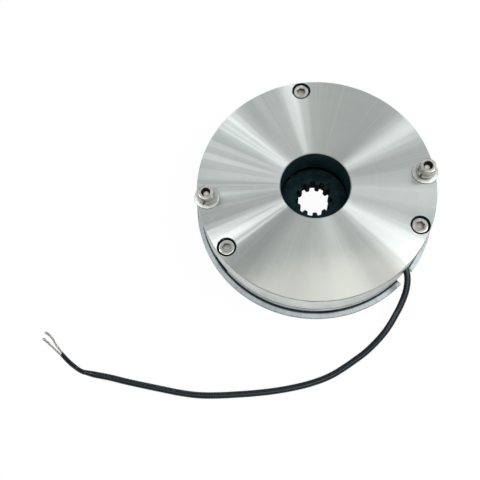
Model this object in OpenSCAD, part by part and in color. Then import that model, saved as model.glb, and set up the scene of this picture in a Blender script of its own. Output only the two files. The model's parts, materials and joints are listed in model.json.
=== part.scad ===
// Spring-applied disc brake for the end of a motor. With the coil off, six springs press the
// armature plate on the lined rotor. With the coil on, the magnet body pulls the armature back.
// The Z axis is the shaft axis, and Z = 0 is the flange's mounting side.

/* [Magnet body] */
// Outer diameter of the magnet body and of the armature plate
disc_d = 150; // [144:1:180]
// Height of the magnet body
magnet_t = 20; // [18:0.5:30]
// Bore of the magnet body
magnet_bore_d = 44; // [36:1:52]
// Chamfer on the edges of the front face
face_chamfer = 0.5; // [0.2:0.1:0.7]
// Chamfer on the edge of the pole face
pole_chamfer = 0.3; // [0.1:0.1:0.6]

/* [Coil] */
// Inner diameter of the coil slot
coil_in_d = 68; // [62:1:72]
// Radial width of the coil slot
coil_w = 17; // [12:0.5:18]
// Depth of the coil slot from the pole face
coil_depth = 14; // [12:0.5:15]
// Wall of the bobbin
bobbin_wall = 1; // [0.6:0.1:1.6]
// Space between the bobbin and the walls of the slot
bobbin_gap = 0.2; // [0.1:0.1:0.4]
// Thickness of the resin that closes the slot
potting_t = 1.5; // [1:0.1:2.5]
// How far the resin lies back from the pole face
potting_recess = 0.1; // [0.05:0.05:0.4]
// Diameter of one coil lead
lead_d = 1.5; // [1:0.1:2]
// Diameter of the hole that the coil leads run through
lead_hole_d = 5; // [4.5:0.5:6]
// Space between the two coil leads
lead_gap = 0.3; // [0.2:0.1:0.5]

/* [Pressure springs] */
// Number of pressure springs
spring_count = 6; // [3, 6]
// Outer diameter of a spring
spring_d = 7; // [5:0.5:7.5]
// Diameter of the spring wire
spring_wire_d = 0.9; // [0.6:0.1:1.1]
// Coils of a spring
spring_turns = 5; // [4:1:6]
// Depth of a spring pocket from the pole face
spring_pocket_depth = 12; // [9:0.5:13]
// Play of a spring in its pocket, on the radius
spring_gap = 0.8; // [0.4:0.1:1]
// Wall between the coil slot and a spring pocket
spring_wall = 2.7; // [2:0.1:3]

/* [Armature and rotor] */
// Working air gap between armature and magnet body with the brake on
air_gap = 0.4; // [0.3:0.05:0.6]
// Thickness of the armature plate
armature_t = 5.6; // [4.6:0.2:8]
// Radius of the armature's notches for the spacer sleeves
armature_notch_r = 6.5; // [5.6:0.1:7]
// Running space round the rotor hub in the armature and the flange
hub_gap = 1.5; // [1:0.1:2.5]
// Thickness of the rotor's steel disc
carrier_t = 1.2; // [1:0.1:2]
// Running space between the rotor's steel disc and the spacer sleeves
rotor_gap = 2; // [1:0.5:4]
// Thickness of one friction lining
lining_t = 1.35; // [1.2:0.05:2]
// Inner diameter of the linings
lining_in_d = 76; // [66:1:90]
// How far the steel disc stands out round the linings
lining_inset = 0.5; // [0.2:0.1:1.5]
// Space between the linings and the plates, on each side
rub_gap = 0.05; // [0.05:0.01:0.1]

/* [Rotor hub] */
// Outer diameter of the hub
hub_d = 43; // [39:0.5:44]
// How far the hub stands out above the underside of the armature
hub_rise = 4; // [2:0.5:5]
// How far the hub reaches down into the flange
hub_drop = 3; // [1:0.5:3]
// Diameter of the hub's riveting flange
hub_flange_d = 58; // [55:0.5:62]
// Teeth of the internal spline
spline_teeth = 11; // [9:1:12]
// Diameter across the valleys of the spline
spline_root_d = 24.6; // [23:0.1:25]
// Diameter across the tips of the teeth
spline_tip_d = 20; // [19:0.1:21]
// Width of a tooth at its root
tooth_root_w = 3.6; // [3.2:0.1:4]
// Width of a tooth at its tip
tooth_tip_w = 2.6; // [2:0.1:2.8]
// Rounding of the tips
tooth_round = 0.6; // [0.3:0.1:0.9]
// Diameter of the two drilled marks
mark_d = 1.6; // [1:0.1:2]
// Distance of a mark's middle from the valleys of the spline
mark_inset = 1.45; // [1.2:0.05:2]
// How much thinner the riveting flange is than a lining
hub_flange_relief = 0.15; // [0.1:0.05:0.4]
// Diameter of a rivet
rivet_d = 3; // [2.5:0.1:3.2]
// Height of a rivet's head
rivet_head_t = 0.8; // [0.6:0.1:1]
// How far a rivet's head stands out round its shank
rivet_head_rim = 0.9; // [0.6:0.1:1.2]
// Number of rivets
rivet_count = 6; // [6, 8]

/* [Flange] */
// How far the flange stands out round the armature
flange_overhang = 3.5; // [2:0.5:8]
// Thickness of the flange
flange_t = 4; // [3.5:0.5:8]
// Chamfer on the flange's outer edges
flange_chamfer = 0.3; // [0.1:0.1:0.8]
// Clearance holes for the motor's countersunk screws
fixing_hole_d = 5.5; // [4.5:0.1:6]
// Countersink of the clearance holes
fixing_sink_d = 10.4; // [8:0.1:11]
// Width of the cut-out for the lead
notch_w = 11.5; // [8:0.5:14]
// Depth of the cut-out for the lead
notch_depth = 8.5; // [5:0.5:10]
// Corner radius of the cut-out
notch_round = 2; // [1:0.5:3]

/* [Screws] */
// Distance of the screw circle from the rim
screw_inset = 6.5; // [6.3:0.1:7.5]
// Thread diameter of the socket head screws
thread_d = 6; // [5:0.1:6.2]
// Diameter of the screw heads
head_d = 10; // [9:0.1:10.4]
// Height of the screw heads
head_t = 6; // [4:0.1:6.4]
// Width across flats of the sockets
socket_w = 5; // [4:0.1:5.5]
// Depth of the sockets
socket_depth = 3; // [2:0.1:3.5]
// Chamfer on the screw heads
head_chamfer = 0.5; // [0.2:0.1:0.8]
// Space between a thread and its tapped hole, on the radius
thread_gap = 0.05; // [0.02:0.01:0.08]
// Clearance round a screw shank, on the radius
shank_gap = 0.3; // [0.2:0.05:0.4]
// Clearance round a mounting screw's head, on the radius
head_gap = 0.7; // [0.5:0.1:0.8]
// How far the mounting screws' heads lie under the front face
head_sink = 0.6; // [0:0.1:1.5]
// Distance of the mounting screws' tips from the mounting side
tip_sink = 0.3; // [0.1:0.1:1]
// Outer diameter of the spacer sleeves
sleeve_d = 10; // [9:0.1:10.6]

/* [Release screws] */
// Length of the release screws
release_l = 30; // [29:0.5:31]
// Open gap under the left release screw's lock washer
release_gap_left = 0.3; // [0.1:0.05:0.6]
// Open gap under the right release screw's lock washer
release_gap_right = 1.6; // [1:0.1:2]
// Diameter of the flat washers
flat_washer_d = 16; // [12:0.5:18]
// Thickness of the flat washers
flat_washer_t = 1; // [0.8:0.1:1.6]
// Diameter of the lock washers
lock_washer_d = 11.8; // [10.6:0.1:12.4]
// Thickness of the lock washers
lock_washer_t = 1.4; // [1:0.1:1.8]
// Space between a lock washer and the screw, on the radius
lock_washer_gap = 0.1; // [0.05:0.05:0.2]
// Width of the slit in a lock washer
lock_slit_w = 1; // [0.6:0.1:1.6]

/* [Lead] */
// Diameter of the lead's outer sleeve
cord_d = 4; // [3.6:0.1:4.4]
// Diameter of one inner wire
wire_d = 1.4; // [1.2:0.1:1.6]
// Diameter of one bundle of bare strands
strand_d = 1; // [0.8:0.1:1.2]
// Width of the recess that the lead comes out of
recess_w = 12; // [10:0.5:14]
// Height of the recess above the pole face
recess_h = 9; // [8:0.5:10]
// Corner radius of the recess
recess_round = 2; // [1:0.5:3]
// Thickness of the grommet along the lead
grommet_t = 5; // [4:0.5:6]
// Space between the grommet and the walls of the recess
grommet_gap = 0.1; // [0.05:0.05:0.3]

/* [Hidden] */
$fn = 96;

// Cuts run this far past the faces they open.
over = 1;

// Angles round the shaft axis, in degrees.
mounting_angles = [90, 210, 330];
fixing_angles = [30, 150, 270];
release_angle_left = 180;
release_angle_right = 0;
spring_angle = 30;
notch_angle = -48;
cord_angle = -47;
tooth_angle = 266;
mark_angles = [132, -23];
slit_angle_left = 250;
slit_angle_right = 225;
slit_slant = 20;

// Sides of the tubes, and points in one coil of a spring.
cord_sides = 12;
wire_sides = 8;
spring_sides = 6;
coil_steps = 10;

// Radii.
disc_r = disc_d / 2;
flange_r = disc_r + flange_overhang;
screw_r = disc_r - screw_inset;
shank_hole_r = thread_d / 2 + shank_gap;
tapped_r = thread_d / 2 + thread_gap;
counterbore_r = head_d / 2 + head_gap;
hub_hole_r = hub_d / 2 + hub_gap;
carrier_r = screw_r - sleeve_d / 2 - rotor_gap;
coil_in_r = coil_in_d / 2;
coil_out_r = coil_in_r + coil_w;
bobbin_in_r = coil_in_r + bobbin_gap;
bobbin_out_r = coil_out_r - bobbin_gap;
winding_in_r = bobbin_in_r + bobbin_wall;
winding_out_r = bobbin_out_r - bobbin_wall;
spring_pocket_r = spring_d / 2 + spring_gap;
spring_r = coil_out_r + spring_wall + spring_pocket_r;
rivet_r = (hub_d + hub_flange_d) / 4;
mark_r = spline_root_d / 2 + mark_inset;
mark_depth = 1;

// Heights.
armature_z = flange_t + carrier_t + 2 * (lining_t + rub_gap);
armature_top_z = armature_z + armature_t;
pole_z = armature_top_z + air_gap;
face_z = pole_z + magnet_t;
carrier_z = flange_t + rub_gap + lining_t;
coil_top_z = pole_z + coil_depth;
bobbin_z = pole_z + potting_recess + potting_t;
hub_z = flange_t - hub_drop;
hub_top_z = armature_z + hub_rise;
hub_flange_t = lining_t - hub_flange_relief;
head_seat_z = face_z - head_sink - head_t;
spring_top_z = pole_z + spring_pocket_depth;
spring_seat_gap = 0.02;

// Lead: the recess in the rim and the points that the sleeve runs through. The first point lies at
// the outer side of the grommet.
cord_start_r = 63;
recess_floor_r = cord_start_r - grommet_t;
lead_z = recess_h / 2;
lead_pitch = lead_d + lead_gap;
cord_route = [
    [43.0, -46.1, 18.5], [45.7, -49.0, 18.5], [47.8, -52.1, 18.1], [49.1, -55.4, 17.4],
    [49.8, -58.7, 16.5], [49.8, -62.1, 15.2], [49.2, -65.5, 13.8], [48.2, -68.8, 12.3],
    [46.7, -72.1, 10.8], [44.9, -75.3, 9.3], [43.0, -78.4, 7.8], [40.8, -81.4, 6.4],
    [38.5, -84.5, 5.2], [36.1, -87.5, 4.1], [33.5, -90.4, 3.2], [30.7, -93.1, 2.5],
    [27.8, -95.6, 2.1], [24.8, -98.0, 2], [18.5, -102.5, 2], [11.5, -106.5, 2],
    [4.5, -110.2, 2], [-5, -114.4, 2], [-16, -117.3, 2], [-28, -119, 2], [-40, -119.8, 2],
    [-52, -119.9, 2], [-64, -119.5, 2], [-76, -118.8, 2], [-87, -117.5, 2], [-98, -115, 2],
    [-109, -111.7, 2], [-120, -108.3, 2], [-131, -104.8, 2], [-142, -101, 2],
    [-152, -98, 2], [-158, -96, 2]
];
// What follows the sleeve's end: the side that a wire leaves on, then the points of its middle line,
// and the points of the bare strands beyond it.
wire_pitch = 1.6;
wire_routes = [
    [-1, [[-162.2, -94.6, 1.2], [-166.6, -91.1, 0.7], [-170.3, -87.4, 0.7], [-173.6, -83.5, 0.7]]],
    [1, [[-161.4, -93.4, 1.2], [-165.6, -89.9, 0.7], [-169.1, -86.4, 0.7], [-172.9, -81.9, 0.7]]]
];
strand_routes = [
    [[-176.4, -80.7, 0.6], [-179.4, -77.4, 0.6], [-183.2, -73.5, 0.6], [-185.9, -70.9, 0.6]],
    [[-174.8, -79.6, 0.6], [-177.1, -76.3, 0.6], [-179.3, -72, 0.6], [-181.5, -69.5, 0.6],
        [-184.1, -67.3, 0.6]]
];

// A closed tube of radius r with the given number of sides along the points of a path that is
// nowhere upright. One corner points straight down, so a tube laid at height r touches the floor.
function unit(v) = v / norm(v);
function heading(path, i) = unit(path[min(i + 1, len(path) - 1)] - path[max(i - 1, 0)]);
function tube_ring(path, i, r, sides) =
    let (
        t = heading(path, i),
        side = unit(cross(t, [0, 0, 1])),
        up = cross(side, t)
    )
    [for (k = [0 : sides - 1]) path[i] + r * (cos(360 * k / sides) * side + sin(360 * k / sides) * up)];
function tube_wall(rings, sides) =
    [for (i = [0 : rings - 2], k = [0 : sides - 1], half = [0, 1])
        let (
            a = i * sides + k,
            b = i * sides + (k + 1) % sides
        )
        half == 0 ? [a, b, b + sides] : [a, b + sides, a + sides]];

module tube(path, r, sides) {
    rings = len(path);
    points = [for (i = [0 : rings - 1]) each tube_ring(path, i, r, sides)];
    start_cap = [for (k = [sides - 1 : -1 : 0]) k];
    end_cap = [for (k = [0 : sides - 1]) (rings - 1) * sides + k];
    polyhedron(points, concat([start_cap], tube_wall(rings, sides), [end_cap]));
}

function helix(r, z0, z1, turns, steps) =
    [for (i = [0 : turns * steps])
        [r * cos(360 * i / steps), r * sin(360 * i / steps), z0 + (z1 - z0) * i / (turns * steps)]];

// The end of a path, and a path that leaves it straight for a short way, at a sideways distance.
lead_in = 1;
function last(path) = path[len(path) - 1];
function last_heading(path) = heading(path, len(path) - 1);
function after(path, offset, rest) =
    let (
        t = last_heading(path),
        side = unit(cross([0, 0, 1], t)),
        start = last(path) - offset * side
    )
    concat([start, start + lead_in * t], rest);
function wire_path(i) = after(cord_route, wire_routes[i][0] * wire_pitch / 2, wire_routes[i][1]);

module ring(r_out, r_in, z0, z1) {
    translate([0, 0, z0])
        difference() {
            cylinder(h = z1 - z0, r = r_out);
            translate([0, 0, -over]) cylinder(h = z1 - z0 + 2 * over, r = r_in);
        }
}

// Puts its children at a radius and an angle, with X pointing away from the shaft axis.
module at_polar(r, angle) {
    rotate([0, 0, angle]) translate([r, 0, 0]) children();
}

module at_angles(r, angles) {
    for (angle = angles) at_polar(r, angle) children();
}

// A cut from floor_r outwards, with two round corners at its floor.
module rim_slot(floor_r, out_r, w, corner_r, z0, z1) {
    translate([0, 0, z0]) {
        translate([floor_r + corner_r, -w / 2, 0]) cube([out_r - floor_r - corner_r, w, z1 - z0]);
        translate([floor_r, -w / 2 + corner_r, 0]) cube([out_r - floor_r, w - 2 * corner_r, z1 - z0]);
        for (side = [-1, 1])
            translate([floor_r + corner_r, side * (w / 2 - corner_r), 0]) cylinder(h = z1 - z0, r = corner_r);
    }
}

// A socket head cap screw whose head stands on Z = 0.
module cap_screw(l) {
    tip = 0.7;
    difference() {
        rotate_extrude()
            polygon([[0, -l], [thread_d / 2 - tip, -l], [thread_d / 2, -l + tip], [thread_d / 2, 0],
                [head_d / 2, 0], [head_d / 2, head_t - head_chamfer],
                [head_d / 2 - head_chamfer, head_t], [0, head_t]]);
        translate([0, 0, head_t - socket_depth])
            rotate([0, 0, 30])
                cylinder(h = socket_depth + over, d = socket_w / cos(30), $fn = 6);
    }
}

// Magnet body: the coil slot, the spring pockets, the screw holes and the lead's recess.
module magnet_blank() {
    bore_r = magnet_bore_d / 2;
    rotate_extrude()
        polygon([[bore_r, pole_z], [coil_in_r, pole_z], [coil_in_r, coil_top_z],
            [coil_out_r, coil_top_z], [coil_out_r, pole_z], [disc_r - pole_chamfer, pole_z],
            [disc_r, pole_z + pole_chamfer], [disc_r, face_z - face_chamfer],
            [disc_r - face_chamfer, face_z], [bore_r + face_chamfer, face_z],
            [bore_r, face_z - face_chamfer]]);
}

module magnet_body() {
    color("gainsboro")
        difference() {
            magnet_blank();
            at_angles(screw_r, concat(mounting_angles, [release_angle_left, release_angle_right]))
                translate([0, 0, pole_z - over]) cylinder(h = magnet_t + 2 * over, r = shank_hole_r);
            at_angles(screw_r, mounting_angles)
                translate([0, 0, head_seat_z]) cylinder(h = head_t + head_sink + over, r = counterbore_r);
            at_springs()
                translate([0, 0, pole_z - over]) cylinder(h = spring_pocket_depth + over, r = spring_pocket_r);
            rotate([0, 0, cord_angle])
                rim_slot(recess_floor_r, flange_r, recess_w, recess_round, pole_z - over, pole_z + recess_h);
            rotate([0, 0, cord_angle])
                translate([coil_out_r - over, 0, pole_z + lead_z])
                    rotate([0, 90, 0]) cylinder(h = recess_floor_r - coil_out_r + 2 * over, d = lead_hole_d);
        }
}

// Coil: a spool, its winding, the resin that closes the slot and the leads to the grommet.
module coil_bobbin() {
    color("ivory")
        rotate_extrude()
            polygon([[bobbin_in_r, bobbin_z], [bobbin_out_r, bobbin_z],
                [bobbin_out_r, bobbin_z + bobbin_wall], [winding_in_r, bobbin_z + bobbin_wall],
                [winding_in_r, coil_top_z - bobbin_wall], [bobbin_out_r, coil_top_z - bobbin_wall],
                [bobbin_out_r, coil_top_z], [bobbin_in_r, coil_top_z]]);
}

module coil_winding() {
    color("peru") ring(winding_out_r, winding_in_r, bobbin_z + bobbin_wall, coil_top_z - bobbin_wall);
}

module coil_potting() {
    color("dimgray") ring(coil_out_r, coil_in_r, pole_z + potting_recess, bobbin_z);
}

module coil_leads() {
    color("firebrick")
        rotate([0, 0, cord_angle])
            for (side = [-1, 1])
                translate([winding_out_r, side * lead_pitch / 2, pole_z + lead_z])
                    rotate([0, 90, 0]) cylinder(h = recess_floor_r - winding_out_r, d = lead_d);
}

module at_springs() {
    at_angles(spring_r, [for (i = [0 : spring_count - 1]) spring_angle + 360 * i / spring_count]) children();
}

module pressure_springs() {
    wire_r = spring_wire_d / 2;
    path = helix(spring_d / 2 - wire_r, armature_top_z + wire_r + spring_seat_gap,
        spring_top_z - wire_r - spring_seat_gap, spring_turns, coil_steps);
    color("silver") at_springs() tube(path, wire_r, spring_sides);
}

module armature_plate() {
    color("silver")
        difference() {
            ring(disc_r, hub_hole_r, armature_z, armature_top_z);
            at_angles(screw_r, mounting_angles)
                translate([0, 0, armature_z - over]) {
                    cylinder(h = armature_t + 2 * over, r = armature_notch_r);
                    translate([0, -armature_notch_r, 0])
                        cube([screw_inset + over, 2 * armature_notch_r, armature_t + 2 * over]);
                }
            at_angles(screw_r, [release_angle_left, release_angle_right])
                translate([0, 0, armature_z - over]) cylinder(h = armature_t + 2 * over, r = tapped_r);
        }
}

// Rotor hub with its internal spline. A tooth is a tapered bar with a rounded tip.
module tooth_2d() {
    tip_r = spline_tip_d / 2;
    root_r = spline_root_d / 2 + over;
    neck_x = tip_r + tooth_round;
    slope = (tooth_root_w - tooth_tip_w) / 2 / (spline_root_d / 2 - tip_r);
    half_w = tooth_tip_w / 2;
    polygon([[neck_x, -half_w], [root_r, -half_w - slope * (root_r - tip_r)],
        [root_r, half_w + slope * (root_r - tip_r)], [neck_x, half_w]]);
    translate([tip_r, -half_w + tooth_round])
        square([2 * tooth_round, tooth_tip_w - 2 * tooth_round]);
    for (side = [-1, 1])
        translate([neck_x, side * (half_w - tooth_round)]) circle(r = tooth_round, $fn = 32);
}

module spline_hole_2d() {
    difference() {
        circle(d = spline_root_d);
        for (i = [0 : spline_teeth - 1])
            rotate(tooth_angle + 360 * i / spline_teeth) tooth_2d();
    }
}

module rotor_hub() {
    edge = 0.6;
    color("#202224")
        difference() {
            rotate_extrude()
                polygon([[0, hub_z], [hub_d / 2 - edge, hub_z], [hub_d / 2, hub_z + edge],
                    [hub_d / 2, carrier_z - hub_flange_t], [hub_flange_d / 2, carrier_z - hub_flange_t],
                    [hub_flange_d / 2, carrier_z], [hub_d / 2, carrier_z],
                    [hub_d / 2, hub_top_z - edge], [hub_d / 2 - edge, hub_top_z], [0, hub_top_z]]);
            translate([0, 0, hub_z - over])
                linear_extrude(hub_top_z - hub_z + 2 * over) spline_hole_2d();
            at_angles(mark_r, mark_angles)
                translate([0, 0, hub_top_z - mark_depth]) cylinder(h = mark_depth + over, d = mark_d);
            at_rivets() cylinder(h = armature_z, d = rivet_d);
        }
}

module at_rivets() {
    at_angles(rivet_r, [for (i = [0 : rivet_count - 1]) 360 * i / rivet_count]) children();
}

module rotor_disc() {
    seat_gap = 0.02;
    color("slategray")
        difference() {
            ring(carrier_r, hub_d / 2 + seat_gap, carrier_z, carrier_z + carrier_t);
            at_rivets() cylinder(h = armature_z, d = rivet_d);
        }
}

module lining(z0) {
    ring(carrier_r - lining_inset, lining_in_d / 2, z0, z0 + lining_t);
}

module lining_upper() {
    color("#4a3b30") lining(carrier_z + carrier_t);
}

module lining_lower() {
    color("#4a3b30") lining(carrier_z - lining_t);
}

module hub_rivets() {
    color("silver")
        at_rivets() {
            translate([0, 0, carrier_z - hub_flange_t])
                cylinder(h = hub_flange_t + carrier_t, d = rivet_d);
            translate([0, 0, carrier_z + carrier_t])
                cylinder(h = rivet_head_t, d = rivet_d + 2 * rivet_head_rim);
        }
}

module flange_blank() {
    rotate_extrude()
        polygon([[hub_hole_r, 0], [flange_r - flange_chamfer, 0], [flange_r, flange_chamfer],
            [flange_r, flange_t - flange_chamfer], [flange_r - flange_chamfer, flange_t],
            [hub_hole_r, flange_t]]);
}

module flange_plate() {
    sink_t = (fixing_sink_d - fixing_hole_d) / 2;
    color("lightsteelblue")
        difference() {
            flange_blank();
            at_angles(screw_r, mounting_angles)
                translate([0, 0, -over]) cylinder(h = flange_t + 2 * over, r = tapped_r);
            at_angles(screw_r, fixing_angles) {
                translate([0, 0, -over]) cylinder(h = flange_t + 2 * over, d = fixing_hole_d);
                translate([0, 0, flange_t - sink_t])
                    cylinder(h = sink_t + over, d1 = fixing_hole_d, d2 = fixing_sink_d + 2 * over);
            }
            rotate([0, 0, notch_angle])
                rim_slot(flange_r - notch_depth, flange_r + over, notch_w, notch_round,
                    -over, flange_t + over);
        }
}

module mounting_screws() {
    color("silver")
        at_angles(screw_r, mounting_angles)
            translate([0, 0, head_seat_z]) cap_screw(head_seat_z - tip_sink);
}

module spacer_sleeves() {
    color("dimgray")
        at_angles(screw_r, mounting_angles) ring(sleeve_d / 2, shank_hole_r, flange_t, pole_z);
}

// Release screws: they turn in the armature's tapped holes and lift it when they are screwed in.
module release_screw(angle, gap) {
    color("silver")
        at_polar(screw_r, angle)
            translate([0, 0, face_z + flat_washer_t + gap + lock_washer_t]) cap_screw(release_l);
}

module lock_washer(angle, gap, slit_angle) {
    color("gainsboro")
        at_polar(screw_r, angle)
            difference() {
                ring(lock_washer_d / 2, thread_d / 2 + lock_washer_gap, face_z + flat_washer_t + gap,
                    face_z + flat_washer_t + gap + lock_washer_t);
                translate([0, 0, face_z + flat_washer_t + gap + lock_washer_t / 2])
                    rotate([0, 0, slit_angle - angle])
                        rotate([slit_slant, 0, 0])
                            translate([0, -lock_slit_w / 2, -2 * lock_washer_t])
                                cube([lock_washer_d, lock_slit_w, 4 * lock_washer_t]);
            }
}

module flat_washer(angle) {
    color("gainsboro")
        at_polar(screw_r, angle)
            ring(flat_washer_d / 2, shank_hole_r, face_z, face_z + flat_washer_t);
}

module release_screw_left() {
    release_screw(release_angle_left, release_gap_left);
}

module release_screw_right() {
    release_screw(release_angle_right, release_gap_right);
}

module lock_washer_left() {
    lock_washer(release_angle_left, release_gap_left, slit_angle_left);
}

module lock_washer_right() {
    lock_washer(release_angle_right, release_gap_right, slit_angle_right);
}

module flat_washer_left() {
    flat_washer(release_angle_left);
}

module flat_washer_right() {
    flat_washer(release_angle_right);
}

// Lead: a rubber grommet in the recess, the round sleeve, two inner wires and their bare ends.
module cord_grommet() {
    color("#1c1d1f")
        rotate([0, 0, cord_angle])
            intersection() {
                rim_slot(recess_floor_r, flange_r, recess_w - 2 * grommet_gap, recess_round,
                    pole_z + 3 * grommet_gap, pole_z + recess_h - grommet_gap);
                translate([0, -recess_w, 0]) cube([cord_start_r, 2 * recess_w, face_z]);
            }
}

module cord_sleeve() {
    color("#17181a") tube(cord_route, cord_d / 2, cord_sides);
}

module cord_wires() {
    color("#222326") for (i = [0 : 1]) tube(wire_path(i), wire_d / 2, wire_sides);
}

module cord_strands() {
    color("silver")
        for (i = [0 : 1]) tube(after(wire_path(i), 0, strand_routes[i]), strand_d / 2, wire_sides);
}

magnet_body();
coil_bobbin();
coil_winding();
coil_potting();
coil_leads();
pressure_springs();
armature_plate();
rotor_hub();
rotor_disc();
lining_upper();
lining_lower();
hub_rivets();
flange_plate();
mounting_screws();
spacer_sleeves();
release_screw_left();
release_screw_right();
lock_washer_left();
lock_washer_right();
flat_washer_left();
flat_washer_right();
cord_grommet();
cord_sleeve();
cord_wires();
cord_strands();
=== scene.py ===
"""Looks of the spring-applied motor brake: turned steel, zinc plate, black hub, stainless screws and lead."""

import json
import math

import bpy
from mathutils import Matrix, Vector


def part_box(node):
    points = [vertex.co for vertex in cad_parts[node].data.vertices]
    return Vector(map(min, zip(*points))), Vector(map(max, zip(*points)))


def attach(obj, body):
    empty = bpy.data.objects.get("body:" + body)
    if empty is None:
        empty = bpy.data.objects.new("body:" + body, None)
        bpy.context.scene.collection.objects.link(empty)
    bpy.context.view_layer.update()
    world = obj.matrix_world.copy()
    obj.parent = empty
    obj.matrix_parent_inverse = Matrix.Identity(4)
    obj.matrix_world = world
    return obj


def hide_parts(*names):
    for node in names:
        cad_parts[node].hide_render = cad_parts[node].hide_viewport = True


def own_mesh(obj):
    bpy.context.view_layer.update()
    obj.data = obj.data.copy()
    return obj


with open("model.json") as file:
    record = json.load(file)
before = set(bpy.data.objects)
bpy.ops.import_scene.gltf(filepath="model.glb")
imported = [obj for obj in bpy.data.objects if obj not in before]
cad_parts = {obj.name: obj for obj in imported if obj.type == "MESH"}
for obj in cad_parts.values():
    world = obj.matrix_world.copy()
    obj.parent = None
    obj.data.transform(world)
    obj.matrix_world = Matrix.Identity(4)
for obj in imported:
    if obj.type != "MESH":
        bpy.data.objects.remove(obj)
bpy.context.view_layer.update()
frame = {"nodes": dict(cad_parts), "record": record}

# One millimetre, in Blender's metres.
MM = 0.001
nodes_of = frame["nodes"]
record = frame["record"]

# Sizes taken from the frame, in millimetres.


def low_mm(node):
    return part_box(node)[0] / MM


def high_mm(node):
    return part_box(node)[1] / MM


FACE_Z = high_mm("magnet_body").z
POLE_Z = low_mm("magnet_body").z
DISC_R = high_mm("magnet_body").x
ARMATURE_Z = low_mm("armature_plate").z
ARMATURE_TOP_Z = high_mm("armature_plate").z
FLANGE_R = high_mm("flange_plate").x
FLANGE_T = high_mm("flange_plate").z
HUB_Z = low_mm("rotor_hub").z
HUB_TOP_Z = high_mm("rotor_hub").z
HUB_FLANGE_R = high_mm("rotor_hub").x
FIXING = next(m for m in record["mounts"] if m["name"] == "fixing_holes")["dims"]
SCREW_R = FIXING["pcd_mm"] / 2
FIXING_R = FIXING["hole_r_mm"]

# The other sizes, in millimetres: those of the solids, and those of finer shapes that only this file has.
# First the plates and their edges.
BORE_R = 22.0
BORE_CHAMFER = 0.5
FACE_CHAMFER = 0.5
EDGE = 0.25
PLATE_BORE_R = 23.0
FLANGE_EDGE = 0.3
SINK_R = 5.2

# The coil's slot, and the springs in their pockets.
COIL_IN_R = 34.0
COIL_OUT_R = 51.0
COIL_DEPTH = 14.0
SPRING_CIRCLE_R = 58.0
SPRING_POCKET_R = 4.3
SPRING_POCKET_DEPTH = 12.0
SPRING_COIL_R = 3.05
SPRING_WIRE_R = 0.45
SPRING_TURNS = 5
SPRING_END_GAP = 0.02

# The lead's recess with its rubber block, and the notches of the plates.
RECESS_FLOOR_R = 58.0
RECESS_W = 12.0
RECESS_H = 9.0
RECESS_ROUND = 2.0
CORD_START_R = 63.0
GROMMET_GAP = 0.1
GROMMET_RISE = 0.3
GROMMET_EDGE = 0.35
ARMATURE_NOTCH_R = 6.5
NOTCH_DEPTH = 8.5
NOTCH_W = 11.5
NOTCH_ROUND = 2.0

# The screws, their holes and what sits round them. The heads are a little narrower than in the solids.
THREAD_R = 3.0
THREAD_PITCH = 1.0
THREAD_DEPTH = 0.35
NECK = 1.2
SHANK_HOLE_R = THREAD_R + 0.3
TAPPED_R = THREAD_R + 0.05
COUNTERBORE_R = 5.7
SEAT_CHAMFER = 0.4
HEAD_R = 4.85
HEAD_T = 6.0
HEAD_EDGE = 0.15
HEAD_CHAMFER = 0.5
KNURL_LOW = 0.5
KNURL_HIGH = 4.9
KNURL_DEPTH = 0.09
SOCKET_FLATS = 5.0
SOCKET_DEPTH = 3.0
SEAT_Z = high_mm("mounting_screws").z - HEAD_T
SLEEVE_R = 5.0
LOCK_GAP = 0.1
LOCK_EDGE = 0.18
LOCK_SLIT_W = 1.0
LOCK_SLIT_REACH = 2.5

# The rotor's hub and its spline.
HUB_R = 21.5
HUB_EDGE = 0.6
HUB_CORE_R = 14.0
SPLINE_TEETH = 11
SPLINE_TIP_R = 10.0
SPLINE_ROOT_R = 12.3
TOOTH_LENGTH = 3.0
TOOTH_TIP_W = 2.6
TOOTH_END_W = 3.85
TOOTH_ROUND = 0.8
MARK_CIRCLE_R = 13.75
MARK_R = 0.8

# Angles round the shaft axis, in degrees, and how far the screws' sockets and the washers' slits are turned.
MOUNTING_ANGLES = (90, 210, 330)
RELEASE_ANGLES = {"left": 180, "right": 0}
FIXING_ANGLES = (30, 150, 270)
SPRING_ANGLES = (30, 90, 150, 210, 270, 330)
NOTCH_ANGLE = -48
CORD_ANGLE = -47
TOOTH_ANGLE = 266
MARK_ANGLES = (132, -23)
MOUNTING_SOCKET_TURNS = (8, 21, 37)
RELEASE_SOCKET_TURNS = {"left": 12, "right": 40}
LOCK_SLIT_ANGLES = {"left": 250, "right": 225}
LOCK_SLIT_SLANT = 20

# The camera stands where the photograph was taken from. Its axes are unit vectors.
CAMERA_PLACE = (-0.03991, -0.15382, 0.38933)
CAMERA_RIGHT = (0.99320, -0.09738, -0.06382)
CAMERA_UP = (0.11285, 0.93995, 0.32211)
CAMERA_BACK = (0.02862, -0.32712, 0.94455)
CAMERA_LENS = 45.98
SENSOR = 36.0


def make_camera():
    data = bpy.data.cameras.new("camera")
    data.sensor_width = SENSOR
    data.lens = CAMERA_LENS
    data.clip_start = 0.01
    data.clip_end = 20.0
    camera = bpy.data.objects.new("camera", data)
    turn = Matrix((CAMERA_RIGHT, CAMERA_UP, CAMERA_BACK)).transposed().to_4x4()
    camera.matrix_world = Matrix.Translation(Vector(CAMERA_PLACE)) @ turn
    bpy.context.scene.collection.objects.link(camera)
    bpy.context.scene.camera = camera


# Materials. Each works on Object coordinates, which are metres in the part's own frame.


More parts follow.
